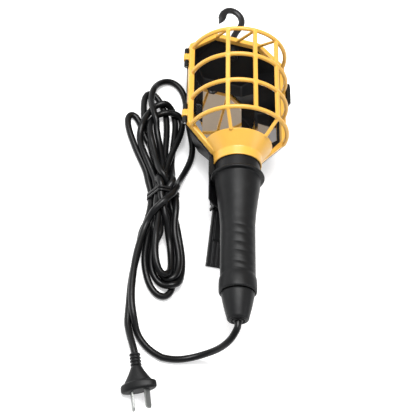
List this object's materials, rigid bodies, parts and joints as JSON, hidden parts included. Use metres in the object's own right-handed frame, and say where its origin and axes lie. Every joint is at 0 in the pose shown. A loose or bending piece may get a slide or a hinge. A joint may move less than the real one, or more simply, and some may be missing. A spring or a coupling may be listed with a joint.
{
  "type": "caged work light",
  "caption": "Hand-held caged work light with a faceted rear shell, mirror reflector, rubber grip, swivel hook, folding stand and a tied mains lead with plug.",
  "frame": {"origin": "on the surface that the lamp lies on, under the middle of the lamp without its lead", "axes": "+Y along the lamp from the cord end to the hook, +Z out of the open cage, +X to the latch side"},
  "size_m": [0.1619, 0.4605, 0.0992],
  "materials": {
    "cage_plastic": "smooth moulded",
    "shell_plastic": "satin moulded",
    "reflector_sheet": "bright anodised sheet",
    "plated_steel": "zinc plated",
    "hook_steel": "black dipped",
    "grip_rubber": "satin moulded",
    "core_plastic": "moulded",
    "holder_plastic": "moulded phenolic",
    "contact_brass": "pressed",
    "live_insulation": "extruded",
    "neutral_insulation": "extruded",
    "cord_rubber": "extruded jacket",
    "tie_plastic": "twist tie",
    "plug_plastic": "moulded"
  },
  "bodies": {
    "lamp": {"rear_shell": "shell_plastic", "reflector": "reflector_sheet", "reflector_screws": "plated_steel", "hinge_pins": "plated_steel", "latch_pin": "plated_steel", "hook_washer": "plated_steel", "rubber_grip": "grip_rubber", "handle_core": "core_plastic", "lampholder_body": "holder_plastic", "lampholder_shell": "contact_brass", "centre_contact": "contact_brass", "lampholder_screws": "plated_steel", "terminal_screws": "contact_brass", "live_wire": "live_insulation", "neutral_wire": "neutral_insulation", "cord_boot": "grip_rubber", "cord_inner": "cord_rubber", "cord_clamp": "core_plastic", "clamp_screws": "plated_steel", "saddle_screws": "plated_steel", "stand_pin": "plated_steel", "cord_exit": "cord_rubber", "cord_hank": "cord_rubber", "cord_tie": "tie_plastic", "cord_lead": "cord_rubber", "plug_relief": "plug_plastic", "plug_body": "plug_plastic", "plug_pins": "plated_steel"},
    "cage_door": {"front_cage": "cage_plastic"},
    "latch_clip": {"latch": "shell_plastic"},
    "hook_swivel": {"hook": "hook_steel", "hook_nut": "plated_steel"},
    "folding_stand": {"stand": "shell_plastic"}
  },
  "joints": [
    {"name": "cage_hinge", "type": "hinge", "parent": "lamp", "child": "cage_door", "pos_m": [-0.0541, 0.0625, 0.044], "axis": [0, -1, 0], "range_deg": [0, 110]},
    {"name": "latch_pivot", "type": "hinge", "parent": "lamp", "child": "latch_clip", "pos_m": [0.0541, 0.0777, 0.038], "axis": [0, 1, 0], "range_deg": [0, 60]},
    {"name": "hook_turn", "type": "hinge", "parent": "lamp", "child": "hook_swivel", "pos_m": [0, 0.1287, 0.034], "axis": [0, 1, 0], "continuous": true},
    {"name": "stand_fold", "type": "hinge", "parent": "lamp", "child": "folding_stand", "pos_m": [0, -0.0553, 0.0164], "axis": [-1, 0, 0], "range_deg": [0, 20]}
  ]
}
